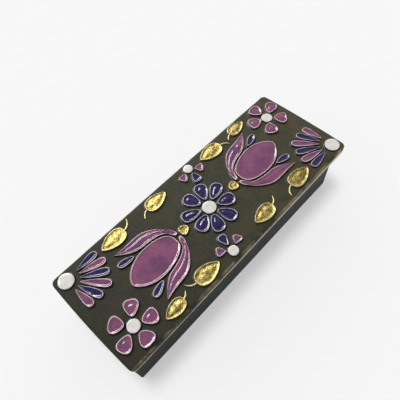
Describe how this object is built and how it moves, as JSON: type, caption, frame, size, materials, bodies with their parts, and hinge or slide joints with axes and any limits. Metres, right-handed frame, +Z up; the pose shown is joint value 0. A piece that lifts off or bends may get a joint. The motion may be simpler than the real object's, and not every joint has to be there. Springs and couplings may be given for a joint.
{
  "type": "ceramic box",
  "caption": "Long glazed ceramic box with a loose flat lid that carries a low floral relief.",
  "frame": {"origin": "on the supporting surface, under the middle of the lid", "axes": "+X along the box, towards the end past which the lid is pushed; +Z up"},
  "size_m": [0.3024, 0.11, 0.0682],
  "materials": {
    "body_glaze": "satin",
    "lid_glaze": "satin",
    "mauve_glaze": "glossy",
    "violet_glaze": "glossy",
    "white_glaze": "glossy",
    "gold_lustre": "crinkled gold lustre over glaze"
  },
  "bodies": {
    "root": {"box_body": "body_glaze", "lid": "lid_glaze"}
  },
  "joints": []
}
